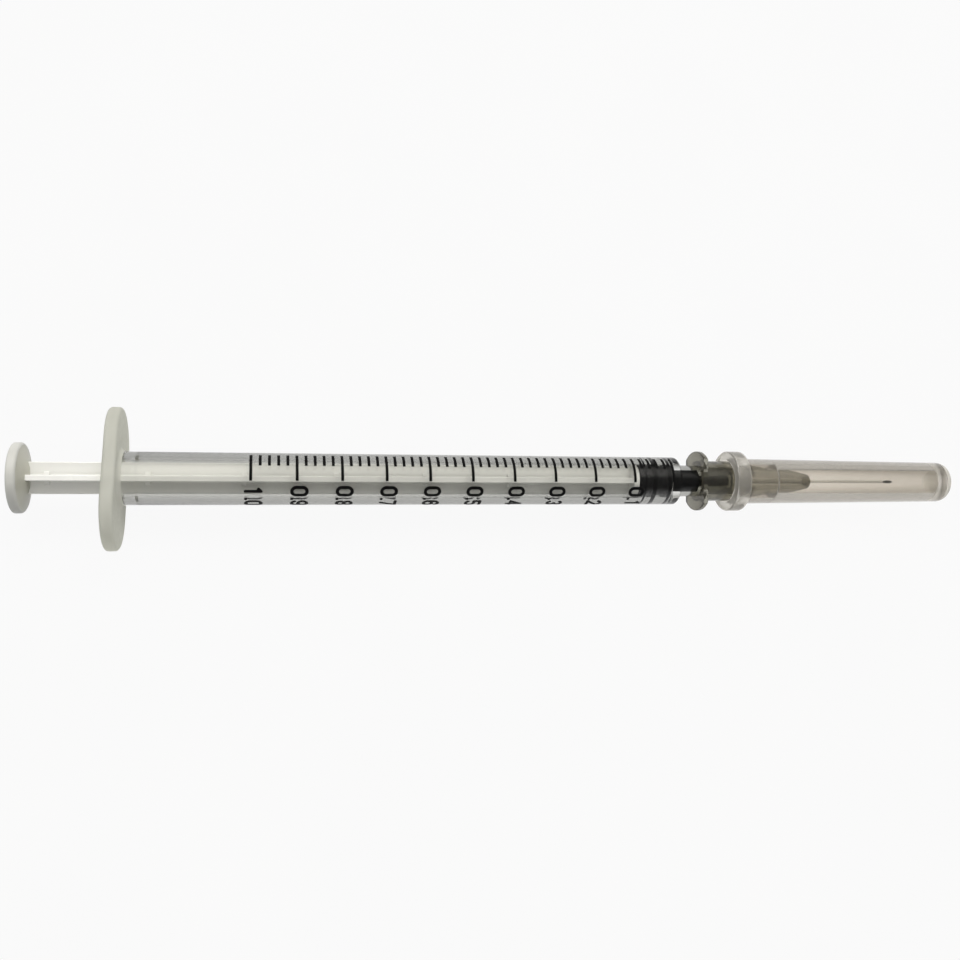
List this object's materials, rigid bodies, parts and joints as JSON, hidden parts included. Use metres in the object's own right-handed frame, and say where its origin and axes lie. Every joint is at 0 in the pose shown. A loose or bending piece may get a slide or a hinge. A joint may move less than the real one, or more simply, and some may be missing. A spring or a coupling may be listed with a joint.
{
  "type": "tuberculin syringe",
  "caption": "Slim clear 1 mL tuberculin syringe with a printed scale, oblong finger flange, cruciform plunger rod, rubber piston, and a fine slip-on needle under a clear cap.",
  "frame": {"origin": "on the barrel's axis, halfway along the tube from the flange's front face to the barrel's front face", "axes": "+X along the axis towards the needle, +Y along the finger flange, +Z out of one of the flange's flat sides; the scale's long lines are on the +Z side"},
  "size_m": [0.1279, 0.0182, 0.0104],
  "materials": {
    "clear_barrel": "clear polypropylene with a faint haze",
    "black_ink": "flat black printing ink",
    "frosted_rod": "translucent off-white moulded plastic",
    "black_rubber": "smooth black rubber",
    "smoke_hub": "smoky grey translucent plastic",
    "needle_steel": "bright drawn stainless steel",
    "adhesive": "cured clear adhesive",
    "clear_cap": "clear plastic, slightly warm"
  },
  "bodies": {
    "barrel": {"barrel": "clear_barrel", "graduation_lines": "black_ink", "graduation_numerals": "black_ink"},
    "piston": {"piston": "black_rubber"},
    "plunger": {"plunger_rod": "frosted_rod"},
    "needle": {"needle_hub": "smoke_hub", "needle_tube": "needle_steel", "needle_adhesive": "adhesive"},
    "cap": {"needle_cap": "clear_cap"}
  },
  "joints": [
    {"name": "plunger_slide", "type": "slide", "parent": "barrel", "child": "piston", "axis": [-1, 0, 0], "range_m": [0, 0.065]},
    {"name": "plunger_spin", "type": "hinge", "parent": "piston", "child": "plunger", "pos_m": [0.03, 0, 0], "axis": [1, 0, 0], "continuous": true},
    {"name": "needle_pull", "type": "slide", "parent": "barrel", "child": "needle", "axis": [1, 0, 0], "range_m": [0, 0.01]},
    {"name": "cap_pull", "type": "slide", "parent": "needle", "child": "cap", "axis": [1, 0, 0], "range_m": [0, 0.032]}
  ]
}
